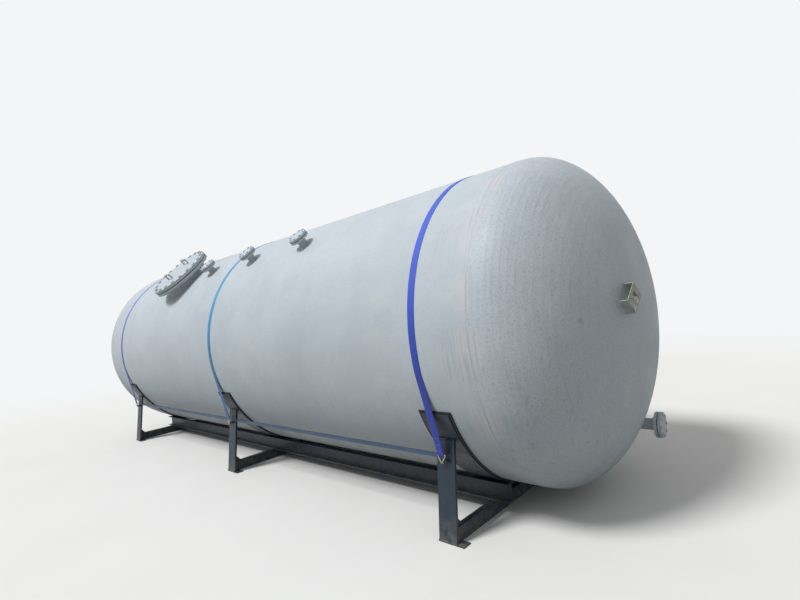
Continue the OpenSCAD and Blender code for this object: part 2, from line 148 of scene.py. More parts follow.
def makePiece(name, parts, material, sharp=38, closedMesh=True, replaced=()):
    # joins the parts into one piece that rides on the tank
    verts, faces = [], []
    for v, f in parts:
        base = len(verts)
        verts += [tuple(p) for p in v]
        faces += [tuple(base + k for k in face) for face in f]
    mesh = bpy.data.meshes.new(name)
    mesh.from_pydata(verts, [], faces)
    if closedMesh:
        work = bmesh.new()
        work.from_mesh(mesh)
        bmesh.ops.recalc_face_normals(work, faces=work.faces)
        work.to_mesh(mesh)
        work.free()
    mesh.shade_smooth()
    mesh.set_sharp_from_angle(angle=radians(sharp))
    mesh.materials.append(material)
    piece = bpy.data.objects.new(name, mesh)
    bpy.context.scene.collection.objects.link(piece)
    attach(piece, "root")
    if replaced:
        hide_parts(*replaced)
    return piece


bracket = dict(
    width=0.165, height=0.125, thick=0.004, side=-0.196, up=0.345, rise=0.065, weldLeg=0.004,
    weldCrown=0.18, weldSteps=18)


def bracketPlace():
    # the bracket's own frame on the outlet head, X along the head's normal there
    reach = hypot(bracket["side"], bracket["up"])
    level = sqrt(tank["radius"] ** 2 - reach ** 2)
    lean = atan2(tank["headRise"] * reach, tank["radius"] * level)
    spot = (headX + tank["headRise"] * level / tank["radius"], bracket["side"], bracket["up"])
    leaning = Matrix.Rotation(lean, 4, Vector((0, -bracket["up"], bracket["side"])))
    return Matrix.Translation(spot) @ leaning


# Materials


def fromHex(code):
    # sRGB hex to the linear values that a shader works in
    channels = [int(code[i:i + 2], 16) / 255 for i in (1, 3, 5)]
    return tuple(c / 12.92 if c <= 0.04045 else ((c + 0.055) / 1.055) ** 2.4 for c in channels) + (1.0,)


def addNode(holder, kind, inputs=(), output=0, **settings):
    # adds one node with its settings and links, and gives back the wanted output. Inputs are a list in the
    # order of the sockets or a dictionary, and colours come as hex
    node = holder.node_tree.nodes.new("ShaderNode" + kind)
    for name, value in settings.items():
        setattr(node, name, value)
    for name, value in inputs.items() if isinstance(inputs, dict) else enumerate(inputs):
        if isinstance(value, bpy.types.NodeSocket):
            holder.node_tree.links.new(value, node.inputs[name])
        else:
            node.inputs[name].default_value = fromHex(value) if isinstance(value, str) else value
    return node.outputs[output]


def startMaterial(name, roughness, metallic=0.0, ior=1.5):
    # gives the material, its shader, what adds a node to it, and the place of each point of the object
    material = bpy.data.materials.new(name)
    material.use_nodes = True
    shader = material.node_tree.nodes["Principled BSDF"]
    shader.inputs["Roughness"].default_value = roughness
    shader.inputs["Metallic"].default_value = metallic
    if metallic < 0.5:
        shader.inputs["IOR"].default_value = ior
    add = partial(addNode, material)
    return material, shader, add, add("TexCoord", output="Object")


def finishMaterial(material, shader, add, colour, roughness, *bumps):
    # links the looks to the shader; a bump is its height, its depth in metres and its strength
    normal = {}
    for height, depth, strength in bumps:
        bump = add("Bump", {"Height": height, "Distance": depth, "Strength": strength, **normal})
        normal = {"Normal": bump}
    for name, socket in {"Base Color": colour, "Roughness": roughness, **normal}.items():
        material.node_tree.links.new(socket, shader.inputs[name])
    return material


def noisy(add, where, size, fromRange, toRange=(0.0, 1.0), detail=2.0, roughness=0.5):
    # noise with features of a size in metres, where one range of it is stretched to another
    noise = add("TexNoise", {0: where, "Scale": 1 / size, "Detail": detail, "Roughness": roughness})
    return add("MapRange", [noise, fromRange[0], fromRange[1], toRange[0], toRange[1]])


def laidOver(add, colour, tint, share, *others):
    # lays a tint over the colour as far as all of its shares let it
    for other in others:
        share = add("Math", [share, other], operation="MULTIPLY")
    return add("Mix", {0: share, 6: colour, 7: tint}, output=2, data_type="RGBA")


def patched(add, place, colour, look):
    # lays the look's patches over the colour: size in metres, detail, range of the noise, amount and tint
    for size, detail, low, high, amount, tint in look["patches"]:
        share = noisy(add, place, size, (low, high), (0.0, amount), detail, look["ragged"])
        colour = laidOver(add, colour, look[tint], share)
    return colour


# clouds 0.9 m wide, spray passes 0.3 m wide, and blotches of 90 mm where the gun lingered. Real stipple is
# 1 to 3 mm, drawn 13 mm on the heads and 16 mm on the shell so that it shows: its size and its amount.
# scrape and smudge are the places of two marks on the outlet head
tankLook = dict(
    base="#BDC7CE", cloud="#A9B3BC", sprayPass="#CDD4D8", grain="#7E8993", streak="#8B959F",
    seamPale="#CBC7CB", seamLine="#83868E", run="#87919B", dust="#9C9484", scrapePaint="#CDD4D8",
    smudgePaint="#787C86", scrape=(4.009, -0.677, 1.021), smudge=(3.982, -0.849, 1.435), ragged=0.6,
    patches=((0.9, 4.0, 0.38, 0.7, 0.5, "cloud"), (0.3, 3.0, 0.48, 0.74, 0.4, "sprayPass"),
             (0.09, 4.0, 0.52, 0.8, 0.2, "cloud")), headGrain=(0.013, 0.36), shellGrain=(0.016, 0.14),
    wipe=0.012)


def sprayedTankPaint(name, onHead):
    # two-pack epoxy sprayed on rolled plate: matte, cloudy where passes overlap, with a dry-spray stipple
    look = tankLook
    material, shader, add, place = startMaterial(name, roughness=0.6)
    x, y, z = add("SeparateXYZ", [place]).node.outputs
    upZ = add("Math", [z, tank["axisZ"]], operation="SUBTRACT")
    angle = add("Math", [y, upZ], operation="ARCTAN2")
    arc = add("Math", [angle, tank["radius"]], operation="MULTIPLY")
    across = add("CombineXYZ", [y, upZ])
    reach = add("VectorMath", [across], "Value", operation="LENGTH")
    along = add("Math", [x, tank["shift"]], operation="SUBTRACT")
    along = add("Math", [along], operation="ABSOLUTE")
    beyond = add("Math", [along, tank["half"]], operation="SUBTRACT")
    fromSeam = add("Math", [beyond], operation="ABSOLUTE")
    colour = patched(add, place, look["base"], look)
    grainSize, grainAmount = look["headGrain"] if onHead else look["shellGrain"]
    grain = add("TexNoise", {0: place, "Scale": 1 / grainSize, "Detail": 2.0, "Roughness": 0.75})
    share = add("MapRange", [grain, 0.5, 0.68, 0.0, grainAmount])
    colour = laidOver(add, colour, look["grain"], share)
    # wipe marks that run round the tank: real ones lie 3 mm apart, drawn 12 mm
    down = add("Math", [reach, along], operation="SUBTRACT") if onHead else x
    slowArc = add("Math", [arc, 0.03], operation="MULTIPLY")
    wiped = add("CombineXYZ", [down, slowArc])
    wipes = noisy(add, wiped, look["wipe"], (0.5, 0.68), (0.0, 0.55), roughness=0.7)
    # on the head they fill its outer third, on the shell they fade out away from the head seams
    if onHead:
        strong = add("MapRange", [reach, 0.62, 1.05, 0.0, 0.6])
    else:
        strong = add("MapRange", [fromSeam, 0.35, 0.03, 0.1, 1.0])
    colour = laidOver(add, colour, look["streak"], wipes, strong, noisy(add, place, 0.45, (0.42, 0.6)))
    # the head seams are ground, filled and painted over: a pale band 130 mm wide with thin broken lines
    unrolled = add("CombineXYZ", [x, arc])
    broken = noisy(add, unrolled, 0.25, (0.46, 0.6), detail=3.0)
    band = add("MapRange", [fromSeam, 0.03, 0.13, 0.45, 0.0])
    colour = laidOver(add, colour, look["seamPale"], band, broken)
    for offset, width in ((0.012, 0.004), (0.055, 0.003)):
        line = add("Math", [beyond, offset], operation="SUBTRACT")
        line = add("Math", [line], operation="ABSOLUTE")
        line = add("MapRange", [line, width * 0.5, width * 1.5, 0.4, 0.0])
        colour = laidOver(add, colour, look["seamLine"], line, broken)
    # run-off marks down the lower half: 40 mm wide and up to half a metre long
    slowZ = add("Math", [z, 0.07], operation="MULTIPLY")
    drips = add("CombineXYZ", [x, y if onHead else 0.0, slowZ])
    drips = noisy(add, drips, 0.04, (0.58, 0.74), (0.0, 0.3), roughness=0.6)
    lowHalf = add("MapRange", [upZ, 0.1, -0.7])
    colour = laidOver(add, colour, look["run"], drips, lowHalf)
    # road dust clings to the belly
    belly = add("MapRange", [z, 0.6, 0.1, 0.0, 0.45])
    dusty = noisy(add, place, 0.18, (0.42, 0.66), detail=4.0, roughness=0.65)
    colour = laidOver(add, colour, look["dust"], dusty, belly)
    if onHead:
        # a knock that left pale scratches 12 mm apart, and a smudge of 50 mm
        ragged = add("TexNoise", {0: place, "Scale": 1 / 0.03, "Detail": 3.0})
        slanted = add("VectorMath", [place, (0.0, 1.0, 0.16)], operation="MULTIPLY")
        scratches = noisy(add, slanted, 0.012, (0.48, 0.6))
        for mark, size, shape in (("scrape", 0.07, scratches), ("smudge", 0.03, ragged)):
            away = add("VectorMath", [place, look[mark]], "Value", operation="DISTANCE")
            away = add("Math", [ragged, 0.05, away], operation="MULTIPLY_ADD")
            share = add("MapRange", [away, 0.025 + size, 0.025 + size * 0.4, 0.0, 0.7])
            colour = laidOver(add, colour, look[mark + "Paint"], share, shape)
    roughness = noisy(add, place, 0.3, (0.3, 0.7), (0.48, 0.7), detail=3.0)
    wave = add("TexNoise", {0: place, "Scale": 1 / 0.8, "Detail": 1.0})
    peel = add("TexNoise", {0: place, "Scale": 1 / 0.02, "Detail": 2.0, "Roughness": 0.6})
    return finishMaterial(material, shader, add, colour, roughness, (wave, 0.03, 0.2), (peel, 0.002, 0.3),
                          (grain, 0.0011, 0.4))


# clouds, rub marks, then small chips down to primer and to steel
cradleLook = dict(
    base="#1F2D3B", deep="#16222E", worn="#33465A", primer="#5E4A40", bare="#7F8486", dust="#7E7A6E",
    ragged=0.7,
    patches=((0.22, 4.0, 0.35, 0.7, 0.7, "deep"), (0.07, 5.0, 0.6, 0.74, 0.45, "worn"),
             (0.024, 4.0, 0.715, 0.735, 0.8, "primer"), (0.018, 3.0, 0.75, 0.765, 0.9, "bare")))
# the tie bars wear a lighter, bluer copy of the cradle enamel: a painted reflection of the sky
tieBarSkyReflectionLook = dict(cradleLook, base="#3B5068", deep="#2D4056", worn="#587089")  # a lighter blue


def brushedCradleEnamel(name, look):
    # alkyd enamel brushed on hot-rolled channel: satin blue-grey, thin on the corners, dusty at the feet
    material, shader, add, place = startMaterial(name, roughness=0.42, ior=1.48)
    x, y, z = add("SeparateXYZ", [place]).node.outputs
    # brush marks 3 mm wide, drawn 8 mm, up each post
    slowZ = add("Math", [z, 0.06], operation="MULTIPLY")
    brush = add("CombineXYZ", [x, y, slowZ])
    brush = add("TexNoise", {0: brush, "Scale": 1 / 0.008, "Detail": 2.0, "Roughness": 0.6})
    share = add("MapRange", [brush, 0.45, 0.75, 0.0, 0.4])
    colour = patched(add, place, laidOver(add, look["base"], look["worn"], share), look)
    nearGround = add("MapRange", [z, 0.2, 0.0, 0.0, 0.65])
    dusty = noisy(add, place, 0.06, (0.38, 0.66), detail=5.0, roughness=0.7)
    dusty = add("Math", [dusty, nearGround], operation="MULTIPLY")
    colour = laidOver(add, colour, look["dust"], dusty)
    sheen = noisy(add, place, 0.05, (0.3, 0.7), (0.34, 0.52), detail=3.0)
    roughness = add("Math", [dusty, 0.4, sheen], operation="MULTIPLY_ADD")
    mill = add("TexNoise", {0: place, "Scale": 1 / 0.012, "Detail": 3.0, "Roughness": 0.6})
    return finishMaterial(material, shader, add, colour, roughness, (brush, 0.0012, 0.35),
                          (mill, 0.0012, 0.3))


# plating crystals are below 1 mm, drawn 6 mm so that they show
zincLook = dict(
    base="#B0B1AC", dull="#8B8D8A", yellow="#B0A57F", grime="#47453F", spangle=0.006, ragged=0.65,
    patches=((0.03, 4.0, 0.45, 0.7, 0.4, "yellow"), (0.015, 4.0, 0.56, 0.72, 0.75, "grime")))


def zincPlate(name):
    # electroplated steel wire and sheet: a soft metal glint with faint yellow passivation, grimy in corners
    look = zincLook
    material, shader, add, place = startMaterial(name, roughness=0.38, metallic=0.9)
    cell = add("TexVoronoi", {"Vector": place, "Scale": 1 / look["spangle"]}, "Color")
    cell = add("SeparateXYZ", [cell])
    share = add("MapRange", [cell, 0.0, 1.0, 0.0, 0.6])
    colour = patched(add, place, laidOver(add, look["base"], look["dull"], share), look)
    smear = add("TexNoise", {0: place, "Scale": 1 / 0.008, "Detail": 3.0})
    roughness = add("MapRange", [smear, 0.3, 0.7, 0.3, 0.52])
    return finishMaterial(material, shader, add, colour, roughness, (smear, 0.0004, 0.4))


rubberLook = dict(
    base="#0E0F10", bloom="#1D1F22", dust="#45423B", ply=0.0033, ragged=0.68,
    patches=((0.09, 4.0, 0.45, 0.75, 0.6, "bloom"), (0.03, 4.0, 0.64, 0.78, 0.3, "dust")))


def cutBeltRubber(name):
    # cut conveyor belt: dull black with a grey bloom, and three plies that show at its cut edge
    look = rubberLook
    material, shader, add, place = startMaterial(name, roughness=0.78, ior=1.52)
    fromAxis = add("VectorMath", [place, (0.0, 0.0, tank["axisZ"])], operation="SUBTRACT")
    fromAxis = add("VectorMath", [fromAxis, (0.0, 1.0, 1.0)], operation="MULTIPLY")
    reach = add("VectorMath", [fromAxis], "Value", operation="LENGTH")
    ply = add("Math", [reach, 2 * pi / look["ply"]], operation="MULTIPLY")
    ply = add("Math", [ply], operation="SINE")
    share = add("MapRange", [ply, 0.3, 1.0, 0.0, 0.5])
    colour = patched(add, place, laidOver(add, look["base"], look["bloom"], share), look)
    pores = add("TexNoise", {0: place, "Scale": 1 / 0.004, "Detail": 3.0, "Roughness": 0.7})
    roughness = add("MapRange", [pores, 0.3, 0.7, 0.68, 0.86])
    return finishMaterial(material, shader, add, colour, roughness, (pores, 0.0005, 0.5))


gasketLook = dict(base="#1E2022", fibre="#3E4245", length=0.004)


def pressedFibreGasket(name):
    # pressed fibre sheet: near black in its gap, with short paler fibres at the cut edge
    look = gasketLook
    material, shader, add, place = startMaterial(name, roughness=0.82)
    stretch = add("VectorMath", [place, (1.0, 0.2, 1.0)], operation="MULTIPLY")
    fibre = add("TexNoise", {0: stretch, "Scale": 1 / look["length"], "Detail": 3.0})
    share = add("MapRange", [fibre, 0.5, 0.7])
    colour = laidOver(add, look["base"], look["fibre"], share)
    roughness = add("MapRange", [fibre, 0.3, 0.7, 0.74, 0.9])
    return finishMaterial(material, shader, add, colour, roughness, (fibre, 0.0005, 0.5))


bracketLook = dict(
    leg="#B4B9B9", face="#A6A592", stain="#7E7D6B", spray="#C6C9C6", ragged=0.68,
    patches=((0.035, 4.0, 0.42, 0.68, 0.7, "stain"), (0.012, 4.0, 0.52, 0.68, 0.75, "spray")))


def primedBracketSteel(name):
    # thin folded sheet in zinc phosphate primer: olive beige face under grey spray dust, paler legs
    look = bracketLook
    material, shader, add, place = startMaterial(name, roughness=0.58)
    facing = (vessel @ bracketPlace()).to_3x3() @ Vector((1, 0, 0))
    faceAt = facing.dot(vessel @ bracketPlace() @ Vector((bracket["rise"], 0, 0)))
    depth = add("VectorMath", [place, tuple(facing)], "Value", operation="DOT_PRODUCT")
    onFace = add("MapRange", [depth, faceAt - 0.0055, faceAt - 0.0045])
    colour = patched(add, place, laidOver(add, look["leg"], look["face"], onFace), look)
    dry = add("TexNoise", {0: place, "Scale": 1 / 0.01, "Detail": 3.0, "Roughness": 0.7})
    roughness = add("MapRange", [dry, 0.3, 0.7, 0.48, 0.68])
    return finishMaterial(material, shader, add, colour, roughness, (dry, 0.0008, 0.5))


# real warp cords are 1.6 mm and picks 1.8 mm apart, drawn 4 and 5.5 mm so that the weave shows
webbingLook = dict(cord=0.004, pick=0.0055, yarn=0.002, sunFrom=1.1, sunTo=2.0)


def wovenPolyester(name, main, dark, light, sun):
    # polyester lashing webbing: thick warp cords with a soft sheen, painted shade in the hollows between the
    # cords and picks, painted sunlight on top
    look = webbingLook
    material, shader, add, place = startMaterial(name, roughness=0.66, ior=1.53)
    shader.inputs["Sheen Weight"].default_value = 0.25
    shader.inputs["Sheen Roughness"].default_value = 0.4
    flat = add("UVMap", uv_map="cloth")
    u = add("SeparateXYZ", [flat], "X")
    v = add("SeparateXYZ", [flat], "Y")
    warp = add("Math", [u, 2 * pi / look["cord"]], operation="MULTIPLY")
    warp = add("Math", [warp], operation="SINE")
    stagger = add("Math", [warp], operation="SIGN")
    stagger = add("Math", [stagger, pi / 2], operation="MULTIPLY")
    pick = add("Math", [v, 2 * pi / look["pick"], stagger], operation="MULTIPLY_ADD")
    pick = add("Math", [pick], operation="SINE")
    pick = add("MapRange", [pick, -1.0, 1.0, 0.5, 1.0])
    cords = add("Math", [warp], operation="ABSOLUTE")
    cords = add("MapRange", [cords, 0.0, 1.0, 0.3, 1.0])
    weave = add("Math", [cords, pick], operation="MULTIPLY")
    # painted shade: the colour darkens in the hollows between the cords and the picks
    colour = laidOver(add, dark, main, weave)
    slowV = add("Math", [v, 0.02], operation="MULTIPLY")
    yarn = add("CombineXYZ", [u, slowV])
    colour = laidOver(add, colour, light, noisy(add, yarn, look["yarn"], (0.5, 0.7), (0.0, 0.5)))
    # painted sunlight: the top of the run turns to its sunlit colour from sunFrom up to sunTo
    height = add("SeparateXYZ", [place], "Z")
    paintedSunlight = add("MapRange", [height, look["sunFrom"], look["sunTo"], 0.0, 0.8])
    colour = laidOver(add, colour, sun, paintedSunlight, noisy(add, place, 0.3, (0.2, 0.6), (0.6, 1.0)))
    soiled = noisy(add, place, 0.05, (0.6, 0.8), (0.0, 0.4), detail=4.0, roughness=0.7)
    colour = laidOver(add, colour, dark, soiled)
    roughness = add("MapRange", [weave, 0.0, 1.0, 0.78, 0.58])
    return finishMaterial(material, shader, add, colour, roughness, (weave, 0.0008, 0.8))


# a real twist of 0.8 mm, drawn 1.6 mm
threadLook = dict(base="#9AA0CE", shade="#5A62A8", twist=0.0016)


def spunThread(name):
    # bonded polyester sewing thread: paler than the webbing, with a shaded line at each turn of its twist
    look = threadLook
    material, shader, add, place = startMaterial(name, roughness=0.6, ior=1.53)
    twist = add("TexNoise", {0: place, "Scale": 1 / look["twist"], "Detail": 2.0})
    share = add("MapRange", [twist, 0.4, 0.62])
    colour = laidOver(add, look["shade"], look["base"], share)
    roughness = add("MapRange", [twist, 0.3, 0.7, 0.7, 0.5])
    return finishMaterial(material, shader, add, colour, roughness, (twist, 0.0003, 0.6))


shellPaint = sprayedTankPaint("sprayedEpoxyShell", onHead=False)
headPaint = sprayedTankPaint("sprayedEpoxyHead", onHead=True)
framePaint = brushedCradleEnamel("brushedEnamelCradle", cradleLook)
# same enamel as the cradle, with the sky's reflection painted into its colour
tieBarSkyReflectionPaint = brushedCradleEnamel("brushedEnamelTieBarSkyReflection", tieBarSkyReflectionLook)
zinc = zincPlate("zincPlatedSteel")
stripRubber = cutBeltRubber("cutBeltRubber")
gasketSheet = pressedFibreGasket("pressedFibreGasket")
bracketFinish = primedBracketSteel("primedBracketSteel")
sewingThread = spunThread("bondedPolyesterThread")
# the last colour of each strap is the painted sunlit colour of its top
webbings = {
    "near": wovenPolyester("royalBlueWebbing", "#2740B8", "#151F66", "#3E5CD8", "#4468E6"),
    "middle": wovenPolyester("skyBlueWebbing", "#1C6AA4", "#0F3A62", "#2F93CC", "#30AFE8"),
    "far": wovenPolyester("violetBlueWebbing", "#5152B4", "#2C2D70", "#7274D0", "#8688EC"),
}

# what the CAD nodes wear, apart from the two usual paints
worn = {"outlet_head": headPaint, "far_head": headPaint, "plate_bracket": bracketFinish,
        "manway_gasket": gasketSheet, "front_tie_bar": tieBarSkyReflectionPaint, "back_tie_bar": tieBarSkyReflectionPaint}
for name in cradle["frames"]:
    worn.update({name + "_rubber": stripRubber, name + "_ratchet": zinc, name + "_strap": webbings[name]})
for name, node in cadNodes.items():
    usual = shellPaint if name.startswith(("shell", "manway", "top", "outlet")) else framePaint
    node.data.materials.clear()
    node.data.materials.append(worn.get(name, usual))
print("materials made")


# Nuts and studs, sprayed over with the tank


def nutParts(width, height, washerR, washerT, place):
    # hexagon nut with chamfered corners on a flat washer, standing on z = 0
    r = width / sqrt(3)
    c = 0.1 * height
    washer = revolved([(washerR - 0.0008, 0), (washerR, washerT * 0.25), (washerR, washerT * 0.75),
                       (washerR - 0.0008, washerT)], 24, place)
    nutTop = washerT + height
    nut = revolved([(r * 0.93, washerT), (r, washerT + c), (r, nutTop - c), (r * 0.9, nutTop)], 6, place,
                   chance.random())
    return [washer, nut]


def studEnd(radius, length, pitch, place):
    # threaded end with one ridge each pitch and a chamfer at its tip
    profile = []
    turns = max(2, int(length / pitch))
    for k in range(turns):
        z = length * k / turns
        profile += [(radius * 0.88, z), (radius, z + length / turns / 2)]
    profile += [(radius * 0.85, length), (radius * 0.6, length + pitch * 0.2)]
    return revolved(profile, 16, place)


def boltCircle(facePlace, x, sizes):
    # a stud in each hole with a nut at both ends; over and under are the outer faces of the pair of flanges
    parts = []
    reach = sizes["pcd"] / 2
    for a in circle(sizes["holes"], turn=0.5):
        spot = facePlace @ Matrix.Translation((x + reach * cos(a), reach * sin(a), 0))
        over = spot @ Matrix.Translation((0, 0, sizes["over"]))
        under = spot @ Matrix.Translation((0, 0, sizes["under"])) @ Matrix.Rotation(pi, 4, "X")
        for place in (over, under):
            parts += nutParts(sizes["nut"], sizes["nutH"], sizes["washerR"], sizes["washerT"], place)
            tip = place @ Matrix.Translation((0, 0, sizes["washerT"] + sizes["nutH"]))
            parts.append(studEnd(sizes["stud"], sizes["proud"], sizes["pitch"], tip))
        shankR, shankL = sizes["stud"] * 0.96, sizes["over"] - sizes["under"]
        shank = [(shankR, -0.001), (shankR, shankL + 0.001)]
        parts.append(revolved(shank, 14, spot @ Matrix.Translation((0, 0, sizes["under"]))))
    return parts


manway = dict(x=-1.39, neckR=0.315, coverTop=1.456, flangeUnder=1.374)
manwayBolts = dict(
    holes=20, pcd=0.77, over=manway["coverTop"], under=manway["flangeUnder"], nut=0.042, nutH=0.011,
    washerR=0.0255, washerT=0.0015, stud=0.0155, pitch=0.0035, proud=0.002)
makePiece("manway_studs", boltCircle(vessel, manway["x"], manwayBolts), shellPaint)

nozzle = dict(xs=(-0.58, 0.41, 1.40), face=1.394, pipeR=0.0445, flangeUnder=1.371)
nozzleBolts = dict(
    holes=8, pcd=0.16, over=0.025, under=-0.023, nut=0.0225, nutH=0.0065, washerR=0.0135, washerT=0.001,
    stud=0.0075, pitch=0.002, proud=0.0015)
for i, x in enumerate(nozzle["xs"]):
    # stands on the raised face of the nozzle's own flange
    facePlace = vessel @ Matrix.Translation((x, 0, nozzle["face"]))
    boltParts = boltCircle(facePlace, 0, nozzleBolts)
    makePiece("top_nozzle_bolts_%d" % (i + 1), boltParts, shellPaint)

outlet = dict(offset=0.980, turn=22, neck=0.125)
outletSkinX = headX + tank["headRise"] * sqrt(1 - (outlet["offset"] / tank["radius"]) ** 2)
outletPlace = (onAxis
               @ Matrix.Rotation(radians(outlet["turn"]), 4, "X")
               @ Matrix.Translation((outletSkinX + outlet["neck"], 0, -outlet["offset"]))
               @ Matrix.Rotation(pi / 2, 4, "Y"))
makePiece("outlet_bolts", boltCircle(outletPlace, 0, nozzleBolts), shellPaint)
print("bolts made")


# Welds on the tank

weld = dict(
    headSeamW=0.011, headSeamH=0.002, courseSeamW=0.008, courseSeamH=0.0008, seamPitch=0.03,
    seamSteps=620, lengthSteps=145, seamEnd=0.006, neckLeg=0.012, flangeLeg=0.009, smallLeg=0.006,
    handleLeg=0.005, ripple=0.009, neckSteps=300, flangeSteps=260, pipeSteps=64, handleSteps=28)


def aroundShell(x, width, height):
    # flat bead of a seam round the shell
    stations = []
    for a in circle(weld["seamSteps"]):
        n = Vector((0, sin(a), cos(a)))
        corner = vessel @ (Vector((x, 0, 0)) + n * tank["radius"])
        stations.append((corner, Vector((width, 0, 0)), Vector((-width, 0, 0)), vesselTurn @ n * height))
    return weldBead(stations, weld["seamPitch"], closed=True)


def alongShell(x0, length, angle, width, height):
    # flat bead of a lengthwise seam, at an angle from the top
    n = Vector((0, sin(angle), cos(angle)))
    side = vesselTurn @ Vector((0, cos(angle), -sin(angle))) * width
    stations = []
    for k in range(weld["lengthSteps"] + 1):
        corner = vessel @ (Vector((x0 + length * k / weld["lengthSteps"], 0, 0)) + n * tank["radius"])
        stations.append((corner, side, -side, vesselTurn @ n * height))
    return weldBead(stations, weld["seamPitch"])


half, course = tank["half"], tank["half"] / 2
seamParts = [aroundShell(x, weld["headSeamW"], weld["headSeamH"]) for x in (-half, half)]
seamParts += [aroundShell(x, weld["courseSeamW"], weld["courseSeamH"]) for x in (-course, 0.0, course)]
# one lengthwise seam in each course, staggered, kept clear of the manway and nozzles
for i, angle in enumerate((118, -128, 142, -104)):
    seamParts.append(alongShell(course * i - half + weld["seamEnd"], course - 2 * weld["seamEnd"],
                                radians(angle), weld["courseSeamW"], weld["courseSeamH"]))
makePiece("shell_seam_welds", seamParts, shellPaint, closedMesh=False, sharp=80)


def neckBead(place, axis, leg, steps, meets):
    # fillet round a neck: meets gives a point where it meets the skin, the skin's normal and the way out
    turn = place.to_3x3()
    stations = []
    for t in circle(steps):
        corner, normal, radial = meets(t)
        along = (radial - normal * radial.dot(normal)).normalized()
        out = (along + axis).normalized() * leg * bead["neckCrown"]
        stations.append((place @ corner, turn @ along * leg, turn @ axis * leg, turn @ out))
    return weldBead(stations, weld["ripple"], closed=True)


def neckOnShell(x, radius, leg, steps):
    # an upright neck on the round shell
    def meets(t):
        y = radius * sin(t)
        z = sqrt(tank["radius"] ** 2 - y * y)
        corner = Vector((x + radius * cos(t), y, z))
        return corner, Vector((0, y, z)) / tank["radius"], Vector((cos(t), sin(t), 0))
    return neckBead(vessel, Vector((0, 0, 1)), leg, steps, meets)


def headNormal(p):
    # the dished head's outward normal at a point of its surface, seen from the tank's axis
    rise, radius = tank["headRise"] ** 2, tank["radius"] ** 2
    return Vector(((p.x - headX) / rise, p.y / radius, p.z / radius)).normalized()


def onHeadSkin(y, z):
    # point of the dished head's surface, seen from the tank's axis
    rise = sqrt(1 - (y * y + z * z) / tank["radius"] ** 2)
    return Vector((headX + tank["headRise"] * rise, y, z))


ripple = weld["ripple"]
leg, big, pipeR, pipeSteps = weld["smallLeg"], weld["flangeLeg"], nozzle["pipeR"], weld["pipeSteps"]
fittingParts = [
    neckOnShell(manway["x"], manway["neckR"], weld["neckLeg"], weld["neckSteps"]),
    ringBead((manway["x"], 0, manway["flangeUnder"]), manway["neckR"], big, -big, ripple, vessel,
             weld["flangeSteps"])]
for x in nozzle["xs"]:
    under = (x, 0, nozzle["flangeUnder"])
    fittingParts += [neckOnShell(x, pipeR, leg, pipeSteps),
                     ringBead(under, pipeR, leg, -leg, ripple, vessel, pipeSteps)]
# four handle feet on the manway cover
handle = dict(offset=0.155, width=0.13, rod=0.01)
for side in (-1, 1):
    for foot in (-1, 1):
        centre = (manway["x"] + foot * handle["width"] / 2, side * handle["offset"], manway["coverTop"])
        fittingParts.append(ringBead(centre, handle["rod"], weld["handleLeg"], weld["handleLeg"], ripple,
                                     vessel, weld["handleSteps"]))
# outlet neck on the dished head, then under its flange
outletAxis = Matrix.Rotation(radians(outlet["turn"]), 3, "X") @ Vector((0, 0, -outlet["offset"]))


def meetsHead(t):
    # where the outlet's neck meets the dished head
    radial = Vector((0, cos(t), sin(t)))
    spot = outletAxis + radial * pipeR
    corner = onHeadSkin(spot.y, spot.z)
    return corner, headNormal(corner), radial


under = (0, 0, nozzleBolts["under"])
fittingParts += [neckBead(onAxis, Vector((1, 0, 0)), leg, pipeSteps, meetsHead),
                 ringBead(under, pipeR, leg, -leg, ripple, outletPlace, pipeSteps)]


def bracketWeld(y, face):
    # one side of one leg: its corner runs where the leg's plane meets the head
    place = bracketPlace()
    turn = place.to_3x3()
    stations = []
    for k in range(bracket["weldSteps"] + 1):
        z = bracket["height"] * (k / bracket["weldSteps"] - 0.5)
        corner = place @ Vector((0, y, z))
        for guess in range(6):
            corner += turn @ Vector((onHeadSkin(corner.y, corner.z).x - corner.x, 0, 0))
        n = headNormal(corner)
        along = turn @ Vector((0, face, 0))
        along = (along - n * along.dot(n)).normalized() * bracket["weldLeg"]
        rise = turn @ Vector((bracket["weldLeg"], 0, 0))
        out = vesselTurn @ (along + rise) * bracket["weldCrown"]
        stations.append((vessel @ corner, vesselTurn @ along, vesselTurn @ rise, out))
    return weldBead(stations, ripple)


for edge in (-1, 1):
    for face in (-1, 1):
        y = edge * (bracket["width"] - bracket["thick"]) / 2 + face * bracket["thick"] / 2
        fittingParts.append(bracketWeld(y, face))
makePiece("fitting_welds", fittingParts, shellPaint, closedMesh=False, sharp=80)
print("tank welds made")


# Welds on the cradle

frameWeld = dict(
    leg=0.007, smallLeg=0.005, pitch=0.009, step=0.004, eyeSteps=24, gusset=0.09, gussetT=0.008)
lean = radians(cradle["splay"])
cradleParts = []


def straightBead(start, end, legA, legB, leg):
    # bead along a straight corner between two faces
    steps = max(3, int((end - start).length / frameWeld["step"]))
    a, b = Vector(legA).normalized() * leg, Vector(legB).normalized() * leg
    out = (a + b).normalized() * leg * bead["crown"]
    return weldBead([(start.lerp(end, k / steps), a, b, out) for k in range(steps + 1)], frameWeld["pitch"])


def webY(z):
    # how far out the outer face of a post stands at a height
    return cradle["footY"] - z * tan(lean)


def footWelds(x, s):
    # post on its foot plate: outer face, then both sides
    half, z = cradle["postW"] / 2, cradle["footT"]
    y0, y1 = s * webY(z), s * (webY(z) - cradle["postT"] / cos(lean))
    upWeb = (0, -s * sin(lean), cos(lean))
    start, end = Vector((x - half, y0, z)), Vector((x + half, y0, z))
    parts = [straightBead(start, end, (0, s, 0), upWeb, frameWeld["leg"])]
    for e in (-1, 1):
        start, end = Vector((x + e * half, y0, z)), Vector((x + e * half, y1, z))
        parts.append(straightBead(start, end, (e, 0, 0), upWeb, frameWeld["leg"]))
    return parts


